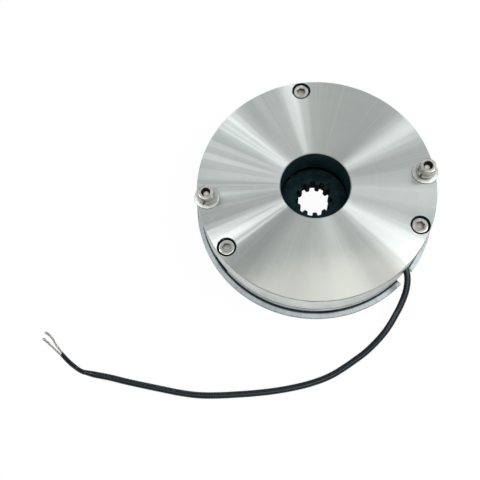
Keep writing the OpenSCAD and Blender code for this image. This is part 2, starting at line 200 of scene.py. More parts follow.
class Finish:
    """A new material and the few node moves that the finishes below are made of. The colour and roughness
    that it starts with are its middle ones, which a viewer shows where it doesn't follow the nodes."""

    def __init__(self, name, color, metallic, roughness):
        self.material = bpy.data.materials.new(name)
        self.material.use_nodes = True
        self.tree = self.material.node_tree
        self.shader = self.tree.nodes["Principled BSDF"]
        self.shader.inputs["Base Color"].default_value = (*color, 1)
        self.shader.inputs["Metallic"].default_value = metallic
        self.shader.inputs["Roughness"].default_value = roughness
        self.place = self.tree.nodes.new("ShaderNodeTexCoord").outputs["Object"]
        self.bumped = None

    def add(self, kind, **settings):
        node = self.tree.nodes.new(kind)
        for key, value in settings.items():
            setattr(node, key, value)
        return node

    def feed(self, socket, value):
        if isinstance(value, bpy.types.NodeSocket):
            self.tree.links.new(value, socket)
        else:
            socket.default_value = value

    def math(self, operation, a, b=0.0):
        node = self.add("ShaderNodeMath", operation=operation)
        self.feed(node.inputs[0], a)
        self.feed(node.inputs[1], b)
        return node.outputs[0]

    def split(self, vector):
        node = self.add("ShaderNodeSeparateXYZ")
        self.feed(node.inputs[0], vector)
        return node.outputs

    def distance(self, x, y):
        squares = self.math("MULTIPLY", x, x), self.math("MULTIPLY", y, y)
        return self.math("SQRT", self.math("ADD", *squares))

    def height(self):
        """The height over the mounting side, in metres."""
        return self.split(self.place)["Z"]

    def radius(self):
        """The distance from the shaft axis, in metres."""
        place = self.split(self.place)
        return self.distance(place["X"], place["Y"])

    def around(self):
        """The direction from the shaft axis, for streaks that run outwards from it."""
        flat = self.add("ShaderNodeVectorMath", operation="MULTIPLY")
        self.feed(flat.inputs[0], self.place)
        flat.inputs[1].default_value = (1, 1, 0)
        unit = self.add("ShaderNodeVectorMath", operation="NORMALIZE")
        self.feed(unit.inputs[0], flat.outputs[0])
        return unit.outputs[0]

    def scaled(self, factors, turn_deg=0.0):
        """The place drawn out by its own factor along each axis, for lines that run one way."""
        node = self.add("ShaderNodeMapping")
        self.feed(node.inputs["Vector"], self.place)
        node.inputs["Scale"].default_value = factors
        node.inputs["Rotation"].default_value = (0, 0, math.radians(turn_deg))
        return node.outputs[0]

    def noise(self, source, scale, detail=3.0, roughness=0.5, socket="Vector", dimensions="3D"):
        node = self.add("ShaderNodeTexNoise", noise_dimensions=dimensions)
        self.feed(node.inputs[socket], source)
        node.inputs["Scale"].default_value = scale
        node.inputs["Detail"].default_value = detail
        node.inputs["Roughness"].default_value = roughness
        return node.outputs["Fac"]

    def noise_line(self, value, scale, detail=2.0, roughness=0.5):
        """Noise along one value, for rings and grooves."""
        return self.noise(value, scale, detail, roughness, "W", "1D")

    def between(self, value, low, high, new_low=0.0, new_high=1.0, smooth=True):
        """A value's way from low to high, as a share, or as a number from new_low to new_high."""
        node = self.add("ShaderNodeMapRange", interpolation_type="SMOOTHSTEP" if smooth else "LINEAR")
        self.feed(node.inputs["Value"], value)
        for name, number in zip(("From Min", "From Max", "To Min", "To Max"), (low, high, new_low, new_high)):
            node.inputs[name].default_value = number
        return node.outputs[0]

    def mixed(self, factor, first, second):
        node = self.add("ShaderNodeMix", data_type="RGBA")
        self.feed(node.inputs["Factor"], factor)
        colors = [s for s in node.inputs if s.type == "RGBA"]
        for socket, color in zip(colors, (first, second)):
            self.feed(socket, color if isinstance(color, bpy.types.NodeSocket) else (*color, 1))
        return next(s for s in node.outputs if s.type == "RGBA")

    def shades(self, pattern, dark, light, low=0.3, high=0.7):
        """A colour that goes from dark to light where a pattern goes from low to high."""
        return self.mixed(self.between(pattern, low, high), dark, light)

    def upright(self):
        """1 on upright walls and 0 on level faces."""
        normal = self.split(self.add("ShaderNodeNewGeometry").outputs["Normal"])
        return self.between(self.math("ABSOLUTE", normal["Z"]), 0.25, 0.75, 1.0, 0.0)

    def bump(self, height, distance_mm, strength=1.0):
        """Adds a bump, on top of the ones before it."""
        node = self.add("ShaderNodeBump")
        self.feed(node.inputs["Height"], height)
        node.inputs["Distance"].default_value = distance_mm * MM
        node.inputs["Strength"].default_value = strength
        if self.bumped:
            self.feed(node.inputs["Normal"], self.bumped)
        self.bumped = node.outputs[0]
        self.feed(self.shader.inputs["Normal"], self.bumped)

    def color(self, value):
        self.feed(self.shader.inputs["Base Color"], value)

    def rough(self, value):
        self.feed(self.shader.inputs["Roughness"], value)

    def sheen(self, level, tint=(1.0, 1.0, 1.0)):
        """How strongly a surface that isn't metal mirrors, and in what tint."""
        self.shader.inputs["Specular IOR Level"].default_value = level
        self.shader.inputs["Specular Tint"].default_value = (*tint, 1)

    def turned(self, amount, sway):
        """Highlights that run across grooves round the shaft axis. sway turns the grooves, in whole turns."""
        self.shader.inputs["Anisotropic"].default_value = amount
        tangent = self.add("ShaderNodeTangent", direction_type="RADIAL", axis="Z")
        self.feed(self.shader.inputs["Tangent"], tangent.outputs[0])
        self.feed(self.shader.inputs["Anisotropic Rotation"], sway)


def turned_face_steel():
    """Face-turned steel: fine concentric grooves, so that lamps show as wedges through the centre."""
    f = Finish("turned_face_steel", (0.62, 0.66, 0.65), 1.0, 0.28)
    radius = f.radius()
    grooves = f.noise_line(radius, 2600.0, 2.0, 0.6)
    bands = f.noise_line(radius, 200.0, 3.0, 0.6)
    patches = f.noise(f.place, 38.0, 4.0, 0.6)
    place = f.split(f.place)

    # The steel itself, with faint rings and patches, and lighter radial rays that are painted highlight
    # streaks.
    tone = f.math("ADD", f.math("MULTIPLY", bands, 0.4), f.math("MULTIPLY", patches, 0.6))
    base = f.shades(tone, (0.595, 0.64, 0.625), (0.625, 0.665, 0.65))
    painted_highlight_rays = f.noise(f.around(), 30.0, 2.0, 0.6)
    base = f.shades(painted_highlight_rays, base, (0.66, 0.695, 0.68), 0.5)

    # Painted shade: darker radial rays in the left half, standing in for dark streaks in the reflection.
    painted_shade_rays = f.between(f.noise(f.around(), 11.0, 2.0, 0.55), 0.42, 0.58)
    left = f.between(place["X"], -12 * MM, -34 * MM)
    upper = f.between(place["Y"], -26 * MM, -12 * MM)
    base = f.mixed(f.math("MULTIPLY", painted_shade_rays, f.math("MULTIPLY", left, upper)), base, (0.49, 0.535, 0.525))

    # A painted highlight: a lighter, warmer patch towards the front edge, with an uneven border.
    uneven = f.math("MULTIPLY", f.math("SUBTRACT", patches, 0.5), 0.03)
    painted_front_highlight = f.between(f.math("ADD", place["Y"], uneven), -36 * MM, -62 * MM)
    base = f.mixed(painted_front_highlight, base, (0.825, 0.86, 0.80))

    scratches = f.noise(f.scaled((60.0, 2400.0, 60.0), 28), 1.0, 2.0)
    f.color(f.shades(scratches, base, (0.80, 0.82, 0.80), 0.735, 0.78))
    f.rough(f.between(grooves, 0.3, 0.7, 0.275, 0.285, smooth=False))
    f.bump(grooves, 0.0002, 0.1)
    streaks = f.noise(f.around(), 14.0, 3.0, 0.6)
    f.turned(0.97, f.between(streaks, 0.25, 0.75, 0.235, 0.265, smooth=False))
    return f.material


DARK_SHEEN_TINT = (0.4, 0.85, 1.0)


def blackened_bore():
    """The bore's wall in a near-black colour, which on the counterbore seats is painted shade, with fine
    turning grooves round it.
    """
    f = Finish("blackened_bore", (0.008, 0.03, 0.04), 0.0, 0.42)
    f.sheen(0.16, DARK_SHEEN_TINT)
    grooves = f.noise_line(f.height(), 2200.0, 2.0)
    clouds = f.noise(f.place, 160.0, 4.0, 0.6)
    f.color(f.shades(clouds, (0.004, 0.013, 0.017), (0.009, 0.028, 0.036), 0.35))
    f.rough(f.between(grooves, 0.3, 0.7, 0.34, 0.5))
    f.bump(grooves, 0.004, 0.3)
    return f.material


def turned_rim_steel():
    """The magnet body's side and its holes: turned and a little duller, with painted shade on the pole face
    and along the lower edge where it meets the armature.
    """
    f = Finish("turned_rim_steel", (0.63, 0.66, 0.64), 1.0, 0.38)
    z = f.height()
    grooves = f.noise_line(z, 3200.0, 2.0, 0.6)
    patches = f.noise(f.place, 60.0, 4.0, 0.65)
    steel = f.shades(patches, (0.50, 0.53, 0.51), (0.64, 0.67, 0.65), 0.35)
    # Painted shade: near-black on the pole face and the lowest part of the side.
    painted_joint_shade = f.between(z, (POLE_Z + 0.15) * MM, (POLE_Z + 0.35) * MM, 1.0, 0.0)
    f.color(f.mixed(painted_joint_shade, steel, (0.02, 0.025, 0.027)))
    f.rough(f.between(grooves, 0.3, 0.7, 0.32, 0.46, smooth=False))
    f.bump(grooves, 0.003, 0.4)
    return f.material


def ground_armature_steel():
    """Ground steel, with painted shade on its top and bottom faces, along the edges beside them and in its
    bore.
    """
    f = Finish("ground_armature_steel", (0.66, 0.67, 0.65), 1.0, 0.36)
    patches = f.noise(f.place, 90.0, 5.0, 0.65)
    lines = f.noise(f.scaled((900.0, 30.0, 900.0)), 1.0, 2.0)
    steel = f.shades(patches, (0.50, 0.51, 0.49), (0.70, 0.71, 0.69), 0.35)
    z = f.height()
    in_bore = f.between(f.radius(), (PLATE_BORE_R + 0.4) * MM, (PLATE_BORE_R + 1.0) * MM, 1.0, 0.0)
    below = f.between(z, (ARMATURE_Z + 0.15) * MM, (ARMATURE_Z + 0.45) * MM, 1.0, 0.0)
    above = f.between(z, (ARMATURE_TOP_Z - 0.3) * MM, (ARMATURE_TOP_Z - 0.15) * MM)
    # Painted shade where the armature meets the magnet body and the rotor, and in its bore.
    painted_gap_shade = f.math("MAXIMUM", in_bore, f.math("MAXIMUM", below, above))
    f.color(f.mixed(painted_gap_shade, steel, (0.012, 0.018, 0.02)))
    f.rough(f.between(lines, 0.3, 0.7, 0.28, 0.44))
    f.bump(lines, 0.003, 0.3)
    return f.material


def zinc_plate():
    """Bluish zinc plate with a fine upright grain on its edge, and painted shade on its top face under the
    armature and just beside it.
    """
    f = Finish("zinc_plate", (0.55, 0.60, 0.66), 1.0, 0.42)
    grain = f.noise(f.around(), 170.0, 3.0, 0.7)
    clouds = f.noise(f.place, 55.0, 4.0, 0.6)
    tone = f.math("ADD", f.math("MULTIPLY", grain, 0.55), f.math("MULTIPLY", clouds, 0.45))
    plate = f.shades(tone, (0.20, 0.225, 0.24), (0.34, 0.37, 0.385), 0.36, 0.64)
    open_top = f.between(f.radius(), (DISC_R + 0.3) * MM, (DISC_R + 1.3) * MM)
    below = f.between(f.height(), (FLANGE_T - 0.3) * MM, (FLANGE_T - 0.1) * MM, 1.0, 0.0)
    # Painted shade: the top face goes near-black under the armature and in a narrow band beside it.
    f.color(f.mixed(f.math("MAXIMUM", open_top, below), (0.012, 0.018, 0.024), plate))
    f.rough(f.between(clouds, 0.3, 0.7, 0.36, 0.5))
    f.bump(grain, 0.02, 0.35)
    return f.material


def black_oxide():
    """The hub's black oxide, over turned steel."""
    f = Finish("black_oxide", (0.008, 0.026, 0.034), 0.0, 0.42)
    f.sheen(0.16, DARK_SHEEN_TINT)
    grooves = f.noise_line(f.radius(), 1800.0, 2.0)
    clouds = f.noise(f.place, 240.0, 4.0, 0.6)
    f.color(f.shades(clouds, (0.004, 0.010, 0.013), (0.011, 0.023, 0.027), 0.35))
    f.rough(f.between(grooves, 0.3, 0.7, 0.34, 0.48))
    f.bump(clouds, 0.01, 0.25)
    return f.material


def phosphated_spline():
    """The broached spline: matt black phosphate with fine lengthways tool lines."""
    f = Finish("phosphated_spline", (0.005, 0.008, 0.009), 0.0, 0.7)
    f.sheen(0.02)
    lines = f.noise(f.scaled((2200.0, 2200.0, 60.0)), 1.0, 2.0)
    f.color(f.shades(lines, (0.003, 0.006, 0.007), (0.009, 0.014, 0.016), 0.35))
    f.bump(lines, 0.005, 0.3)
    return f.material


def socket_steel(name, dark, light, lit_r=None):
    """The inside of a screw's hex socket: rough forged steel in the colours given; the dark ones given for
    the walls are painted shade, and the release screws' beige floor is a painted lit tone. With lit_r, a
    release screw's socket floor is painted black shade further than that from its middle, in millimetres."""
    f = Finish(name, light, 0.6, 0.5)
    clouds = f.noise(f.place, 900.0, 4.0, 0.6)
    steel = f.shades(clouds, dark, light)
    if lit_r:
        place = f.split(f.place)
        aside = f.distance(f.math("SUBTRACT", f.math("ABSOLUTE", place["X"]), SCREW_R * MM), place["Y"])
        # Painted shade: the socket floor goes black away from its middle.
        painted_socket_shade = f.between(aside, (lit_r - 0.3) * MM, (lit_r + 0.3) * MM)
        steel = f.mixed(painted_socket_shade, steel, (0.012, 0.011, 0.010))
    f.color(steel)
    f.rough(f.between(clouds, 0.3, 0.7, 0.42, 0.6))
    f.bump(clouds, 0.01, 0.3)
    return f.material


def stainless():
    """The screws: bright faces, and upright walls darkened with painted shade."""
    f = Finish("stainless", (0.54, 0.535, 0.52), 1.0, 0.33)
    clouds = f.noise(f.place, 300.0, 4.0, 0.6)
    face = f.shades(clouds, (0.42, 0.415, 0.40), (0.60, 0.595, 0.575))
    shaded_wall = f.shades(clouds, (0.16, 0.155, 0.145), (0.30, 0.295, 0.28))
    # Painted shade: the upright walls are much darker than the level faces.
    f.color(f.mixed(f.upright(), face, shaded_wall))
    f.rough(f.between(clouds, 0.3, 0.7, 0.29, 0.37))
    f.bump(clouds, 0.001, 0.15)
    return f.material


def plated_washer():
    """The washers: bright plated faces, and upright edges darkened with painted shade."""
    f = Finish("plated_washer", (0.66, 0.67, 0.65), 1.0, 0.38)
    clouds = f.noise(f.place, 300.0, 4.0, 0.6)
    face = f.shades(clouds, (0.43, 0.44, 0.425), (0.60, 0.61, 0.59))
    # Painted shade: near-black on the upright edges.
    f.color(f.mixed(f.upright(), face, (0.14, 0.14, 0.135)))
    f.rough(f.between(clouds, 0.3, 0.7, 0.34, 0.42))
    f.bump(clouds, 0.001, 0.15)
    return f.material


def sleeve_steel():
    f = Finish("sleeve_steel", (0.42, 0.43, 0.42), 1.0, 0.4)
    grooves = f.noise_line(f.height(), 2600.0, 2.0)
    f.color(f.shades(grooves, (0.34, 0.35, 0.34), (0.5, 0.51, 0.5)))
    f.bump(grooves, 0.004, 0.4)
    return f.material


def spring_wire():
    f = Finish("spring_wire", (0.36, 0.37, 0.4), 1.0, 0.33)
    clouds = f.noise(f.place, 700.0, 3.0)
    f.color(f.shades(clouds, (0.28, 0.29, 0.32), (0.46, 0.47, 0.5)))
    f.bump(clouds, 0.006, 0.3)
    return f.material


def rotor_sheet():
    """The rotor's sheet steel, with painted shade making it near-black close to the hub."""
    f = Finish("rotor_sheet", (0.4, 0.41, 0.42), 1.0, 0.42)
    clouds = f.noise(f.place, 70.0, 5.0, 0.65)
    steel = f.shades(clouds, (0.28, 0.29, 0.3), (0.46, 0.47, 0.48), 0.35)
    # Painted shade: the sheet goes near-black inside about 27 to 33 mm from the axis, round the hub.
    f.color(f.mixed(f.between(f.radius(), 27 * MM, 33 * MM), (0.03, 0.042, 0.05), steel))
    f.rough(f.between(clouds, 0.3, 0.7, 0.34, 0.52))
    f.bump(clouds, 0.006, 0.3)
    return f.material


def friction_lining():
    """Pressed friction material: dark brown with light fibres and brass specks."""
    f = Finish("friction_lining", (0.13, 0.1, 0.08), 0.0, 0.85)
    grain = f.noise(f.place, 900.0, 5.0, 0.7)
    fibres = f.noise(f.scaled((300.0, 1400.0, 900.0), 35), 1.0, 2.0)
    base = f.shades(grain, (0.07, 0.055, 0.045), (0.2, 0.155, 0.12), 0.35)
    f.color(f.shades(fibres, base, (0.42, 0.33, 0.2), 0.62, 0.72))
    f.bump(grain, 0.05, 0.5)
    return f.material


def copper_winding():
    """Enamelled wire wound in layers, each turn a fine ring."""
    wire_pitch = 0.6 * MM
    f = Finish("copper_winding", (0.55, 0.24, 0.12), 0.85, 0.3)
    turns = f.math("SINE", f.math("MULTIPLY", f.height(), 2 * math.pi / wire_pitch))
    clouds = f.noise(f.place, 200.0, 3.0)
    f.color(f.shades(clouds, (0.42, 0.16, 0.075), (0.66, 0.3, 0.15)))
    f.bump(turns, 0.15, 0.5)
    return f.material


def bobbin_nylon():
    f = Finish("bobbin_nylon", (0.7, 0.66, 0.55), 0.0, 0.5)
    clouds = f.noise(f.place, 120.0, 4.0)
    f.color(f.shades(clouds, (0.62, 0.58, 0.47), (0.76, 0.72, 0.62)))
    f.bump(f.noise(f.place, 1500.0, 2.0), 0.01, 0.3)
    return f.material


def cast_resin():
    f = Finish("cast_resin", (0.05, 0.05, 0.055), 0.0, 0.25)
    waves = f.noise(f.place, 60.0, 3.0)
    f.color(f.shades(waves, (0.035, 0.035, 0.04), (0.075, 0.075, 0.08)))
    f.bump(waves, 0.2, 0.3)
    return f.material


def red_lead():
    f = Finish("red_lead", (0.4, 0.04, 0.03), 0.0, 0.4)
    clouds = f.noise(f.place, 500.0, 3.0)
    f.color(f.shades(clouds, (0.32, 0.03, 0.025), (0.46, 0.06, 0.045)))
    f.bump(clouds, 0.01, 0.3)
    return f.material


def moulded_rubber():
    f = Finish("moulded_rubber", (0.02, 0.021, 0.023), 0.0, 0.6)
    clouds = f.noise(f.place, 600.0, 4.0, 0.6)
    f.color(f.shades(clouds, (0.013, 0.014, 0.015), (0.034, 0.035, 0.038)))
    f.bump(clouds, 0.02, 0.4)
    return f.material


def black_pvc():
    """Satin black sleeving with faint scuffs and a slightly wavy skin."""
    f = Finish("black_pvc", (0.004, 0.006, 0.008), 0.0, 0.26)
    f.sheen(0.36, (0.72, 0.9, 1.0))
    scuffs = f.noise(f.place, 900.0, 5.0, 0.7)
    waves = f.noise(f.place, 160.0, 3.0)
    f.color(f.shades(scuffs, (0.003, 0.0055, 0.008), (0.014, 0.020, 0.026), 0.56, 0.74))
    f.rough(f.between(scuffs, 0.35, 0.7, 0.2, 0.36))
    f.bump(waves, 0.05, 0.35)
    f.bump(scuffs, 0.005, 0.2)
    return f.material


def tinned_copper():
    f = Finish("tinned_copper", (0.42, 0.42, 0.40), 0.9, 0.42)
    clouds = f.noise(f.place, 900.0, 4.0, 0.6)
    f.color(f.shades(clouds, (0.24, 0.24, 0.23), (0.50, 0.50, 0.48), 0.35))
    f.bump(clouds, 0.01, 0.4)
    return f.material


# Ways of shaping that the pieces share.

# How far a cutter reaches past the piece, in millimetres, and how many corners a turned screw has.
PAST = 1.0
SCREW_STEPS = 96
# Points closer than this, in metres, are one.
SAME_POINT = 1e-6
# The largest angle between two faces that still show as one smooth face, in degrees.
SMOOTH_ANGLE = 32


def deselect():
    if bpy.context.object and bpy.context.object.mode != "OBJECT":
        bpy.ops.object.mode_set(mode="OBJECT")
    bpy.ops.object.select_all(action="DESELECT")


def pick(*pieces):
    """Selects these pieces alone, the first one active."""
    deselect()
    for piece in pieces:
        piece.select_set(True)
    bpy.context.view_layer.objects.active = pieces[0]


def edit_only(piece, kind, test):
    """Starts edit mode on a piece with only those vertices or edges selected whose points, in millimetres,
    pass the test."""
    pick(piece)
    bpy.ops.object.mode_set(mode="EDIT")
    bpy.ops.mesh.select_mode(type=kind)
    bpy.ops.mesh.select_all(action="DESELECT")
    bpy.ops.object.mode_set(mode="OBJECT")
    if kind == "VERT":
        for vertex in piece.data.vertices:
            vertex.select = test(vertex.co / MM)
    else:
        for edge in piece.data.edges:
            edge.select = test(*(piece.data.vertices[i].co / MM for i in edge.vertices))
    bpy.ops.object.mode_set(mode="EDIT")


def settle(piece, move=(0, 0, 0), turn_deg=0.0, tilt_deg=0.0):
    """Puts a piece at its place, in its mesh, with its object left at the origin."""
    pick(piece)
    piece.rotation_euler = (math.radians(tilt_deg), 0, math.radians(turn_deg))
    piece.location = Vector(move) * MM
    bpy.ops.object.transform_apply(location=True, rotation=True, scale=True)


def spread(piece, spots):
    """Copies a piece to each (move, turn), every copy with its own mesh, and throws the first one away."""
    made = []
    for move, turn_deg in spots:
        twin = piece.copy()
        twin.data = piece.data.copy()
        bpy.context.scene.collection.objects.link(twin)
        settle(twin, move, turn_deg)
        made.append(twin)
    bpy.data.objects.remove(piece)
    return made


def polar_place(radius, angle, z=0.0):
    a = math.radians(angle)
    return (radius * math.cos(a), radius * math.sin(a), z)


def turned_piece(name, profile, steps=192, closed=True):
    """A turned piece: a circle at the first (radius, height) of the profile, extruded from point to point.
    A closed profile meets its start again, and an open one is filled across at both ends."""
    deselect()
    r, z = profile[0]
    bpy.ops.mesh.primitive_circle_add(vertices=steps, radius=r * MM, location=(0, 0, 0))
    piece = bpy.context.object
    piece.name = piece.data.name = name
    bpy.ops.object.mode_set(mode="EDIT")
    bpy.ops.mesh.select_all(action="SELECT")
    bpy.ops.transform.translate(value=(0, 0, z * MM))
    if not closed:
        bpy.ops.mesh.edge_face_add()
        bpy.ops.mesh.select_all(action="SELECT")
    rest = profile[1:] + (profile[:1] if closed else [])
    for new_r, new_z in rest:
        bpy.ops.mesh.extrude_edges_move(TRANSFORM_OT_translate={"value": (0, 0, (new_z - z) * MM)})
        if new_r != r:
            size = new_r / r
            bpy.ops.transform.resize(value=(size, size, 1), center_override=(0, 0, new_z * MM))
        r, z = new_r, new_z
    if not closed:
        bpy.ops.mesh.edge_face_add()
    bpy.ops.mesh.select_all(action="SELECT")
    bpy.ops.mesh.remove_doubles(threshold=SAME_POINT)
    bpy.ops.mesh.normals_make_consistent(inside=False)
    bpy.ops.object.mode_set(mode="OBJECT")
    return piece


def drill(name, radius, z0, z1, place=(0, 0, 0), steps=64, mouth=0.0, sides_turn=1.7):
    """A cutter: a round bar from z0 to z1. With a mouth, its sides slope outwards from that far below z1 to
    as far above it. They are turned a little, so that no corner of the bar meets a corner of the piece."""
    profile = [(radius, z0), (radius, z1 - mouth)]
    if mouth:
        profile.append((radius + 2 * mouth, z1 + mouth))
    cutter = turned_piece(name, profile, steps, closed=False)
    settle(cutter, place, sides_turn)
    return cutter


def bar(name, x0, x1, width, z0, z1):
    """A square bar along X, from x0 to x1, with its width on Y, between the heights z0 and z1."""
    deselect()
    bpy.ops.mesh.primitive_cube_add(size=1, location=((x0 + x1) / 2 * MM, 0, (z0 + z1) / 2 * MM))
    piece = bpy.context.object
    piece.name = piece.data.name = name
    piece.scale = ((x1 - x0) * MM, width * MM, (z1 - z0) * MM)
    bpy.ops.object.transform_apply(location=True, rotation=True, scale=True)
    return piece


def round_inner_edges(piece, inside_x, radius, segments):
    """Rounds the upright edges of a bar that are nearer to the shaft axis than inside_x."""
    edit_only(piece, "EDGE", lambda a, b: abs(a.z - b.z) > 0.001 and a.x < inside_x)
    bpy.ops.mesh.bevel(offset=radius * MM, segments=segments)
    bpy.ops.object.mode_set(mode="OBJECT")


def slot_cutter(name, floor_r, out_r, width, corner, z0, z1, angle=0):
    """A cutter for a slot from floor_r outwards, with its two inner corners rounded."""
    cutter = bar(name, floor_r, out_r, width, z0, z1)
    round_inner_edges(cutter, floor_r + 0.01, corner, 12)
    settle(cutter, turn_deg=angle)
    return cutter


def cut(piece, cutters, operation="DIFFERENCE"):
    """Cuts a piece with each cutter in turn, or joins it on, and throws the cutters away."""
    for cutter in cutters:
        pick(piece)
        modifier = piece.modifiers.new("cut", "BOOLEAN")
        modifier.operation = operation
        modifier.solver = "EXACT"
        modifier.object = cutter
        bpy.ops.object.modifier_apply(modifier=modifier.name)
        bpy.data.objects.remove(cutter)


def join(pieces, name):
    pick(*pieces)
    bpy.ops.object.join()
    made = bpy.context.object
    made.name = made.data.name = name
    return made


def smooth(piece):
    pick(piece)
    bpy.ops.object.shade_smooth_by_angle(angle=math.radians(SMOOTH_ANGLE))


def coat(piece, *materials):
    piece.data.materials.clear()
    for material in materials:
        piece.data.materials.append(material)


def stand_in(piece, body, slot_name, *replaced):
    """Hands a finished piece over: it rides on a body and shows in place of CAD nodes. slot_name is not used.
    """
    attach(piece, body)
    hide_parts(*replaced)


# The lead, in metres. Its points are those of the solids, to half a millimetre.
CORD_R = 0.002
SLEEVE_END_SHARE = 0.76
CORD_ROUTE = [
    (0.0430, -0.0461, 0.0185), (0.0457, -0.0490, 0.0185), (0.0478, -0.0521, 0.0181),
    (0.0491, -0.0554, 0.0174), (0.0498, -0.0587, 0.0165), (0.0498, -0.0621, 0.0152),
    (0.0492, -0.0655, 0.0138), (0.0482, -0.0688, 0.0123), (0.0467, -0.0721, 0.0108),
    (0.0449, -0.0753, 0.0093), (0.0430, -0.0784, 0.0078), (0.0408, -0.0814, 0.0064),
    (0.0385, -0.0845, 0.0052), (0.0361, -0.0875, 0.0041), (0.0335, -0.0904, 0.0032),
    (0.0307, -0.0931, 0.0025), (0.0278, -0.0956, 0.0021), (0.0248, -0.0980, 0.0020),
    (0.0185, -0.1025, 0.0020), (0.0115, -0.1065, 0.0020), (0.0045, -0.1102, 0.0020),
    (-0.0050, -0.1144, 0.0020), (-0.0160, -0.1173, 0.0020), (-0.0280, -0.1190, 0.0020),
    (-0.0400, -0.1198, 0.0020), (-0.0520, -0.1199, 0.0020), (-0.0640, -0.1195, 0.0020),
    (-0.0760, -0.1188, 0.0020), (-0.0870, -0.1175, 0.0020), (-0.0980, -0.1150, 0.0020),
    (-0.1090, -0.1117, 0.0020), (-0.1200, -0.1083, 0.0020), (-0.1310, -0.1048, 0.0020),
    (-0.1420, -0.1010, 0.0020), (-0.1520, -0.0980, 0.0020), (-0.1580, -0.0960, 0.0020),
]
WIRE_R = 0.00075
WIRE_ROUTES = {
    "front": [(-0.15825, -0.09676, 0.0020), (-0.1592, -0.0964, 0.0019), (-0.1622, -0.0946, 0.0012),
              (-0.16657, -0.09105, 0.00076), (-0.17024, -0.08735, 0.00076), (-0.17352, -0.08344, 0.00076)],
    "back": [(-0.15780, -0.09534, 0.0020), (-0.1588, -0.0950, 0.0019), (-0.1615, -0.0935, 0.0012),
             (-0.16563, -0.08995, 0.00076), (-0.16918, -0.08646, 0.00076), (-0.17292, -0.08205, 0.00076)],
}
STRAND_R = 0.0005
STRAND_COUNT = 10
STRAND_WIRE_R = 0.00024
# How far from the bundle's middle its first strand and the others run, as shares of its radius.
STRAND_MIDDLE = 0.15
STRAND_RING = 0.68
# How far the strands twist over their length, in radians, and how they spread sideways and splay.
STRAND_TWIST = 1.6
STRAND_SPREAD = 1.2
STRAND_SPLAY = 1.4
STRAND_STEPS = 4
STRAND_ROUTES = {
    "front": [(-0.1736, -0.0835, 0.0007), (-0.1764, -0.0807, 0.0006), (-0.1794, -0.0774, 0.0006),
              (-0.1832, -0.0735, 0.0006), (-0.1855, -0.0713, 0.0006)],
    "back": [(-0.1729, -0.0819, 0.0007), (-0.1748, -0.0796, 0.0006), (-0.1771, -0.0763, 0.0006),
             (-0.1793, -0.0720, 0.0006), (-0.1815, -0.0695, 0.0006), (-0.1841, -0.0673, 0.0006)],
}


def curve_piece(name, points, radius, thinner=(), resolution=12, roundness=5):
    """A round curve through the points. thinner maps a point's index to its share of the radius."""
    data = bpy.data.curves.new(name, "CURVE")
    data.dimensions = "3D"
    data.resolution_u = resolution
    data.bevel_depth = radius
    data.bevel_resolution = roundness
    data.use_fill_caps = True
    spline = data.splines.new("BEZIER")
    spline.bezier_points.add(len(points) - 1)
    for point, place in zip(spline.bezier_points, points):
        point.co = place
        point.handle_left_type = point.handle_right_type = "AUTO"
    for index, share in dict(thinner).items():
        spline.bezier_points[index].radius = share
    curve = bpy.data.objects.new(name, data)
    bpy.context.scene.collection.objects.link(curve)
    return curve


def make_lead(pvc, tinned):
    """The sleeve, which narrows where it was cut, the two inner wires and their bare ends."""
    last = len(CORD_ROUTE) - 1
    sleeve = curve_piece("lead_sleeve", CORD_ROUTE, CORD_R, {last: SLEEVE_END_SHARE})
    coat(sleeve, pvc)
    stand_in(sleeve, "brake_body", "black_sleeve", "cord_sleeve")
    for side, route in WIRE_ROUTES.items():
        wire = curve_piece("lead_wire_" + side, route, WIRE_R)
        coat(wire, pvc)
        stand_in(wire, "brake_body", "black_sleeve", "cord_wires")
    strands = [make_strands(side, route, tinned) for side, route in STRAND_ROUTES.items()]


def strand_path(route, start_turn, ring):
    """A path that winds round a route, and splays sideways along its second half."""
    up = Vector((0, 0, 1))
    total = (len(route) - 1) * STRAND_STEPS
    points = []
    for i in range(total + 1):
        k = min(i // STRAND_STEPS, len(route) - 2)
        start, end = Vector(route[k]), Vector(route[k + 1])
        across = (end - start).cross(up).normalized()
        share = i / total
        turn = start_turn + STRAND_TWIST * share
        splay = STRAND_SPREAD + STRAND_SPLAY * max(0.0, share - 0.5)
        offset = across * math.cos(turn) * ring * splay + up * math.sin(turn) * ring
        points.append(start.lerp(end, i / STRAND_STEPS - k) + offset)
    return points


def make_strands(side, route, material):
    """A bundle of fine tinned strands, one in the middle and the others twisted round it."""
    strands = []
    for k in range(STRAND_COUNT):
        ring = STRAND_R * (STRAND_MIDDLE if k == 0 else STRAND_RING)
        path = strand_path(route, 2 * math.pi * k / (STRAND_COUNT - 1), ring)
        strands.append(curve_piece("strand", path, STRAND_WIRE_R, resolution=3, roundness=2))
    pick(*strands)
    bpy.ops.object.convert(target="MESH")
    bundle = join(strands, "lead_strands_" + side)
    bpy.ops.object.shade_smooth()
    coat(bundle, material)
    stand_in(bundle, "brake_body", "tinned_copper", "cord_strands")
    return bundle


# The pieces of the brake.


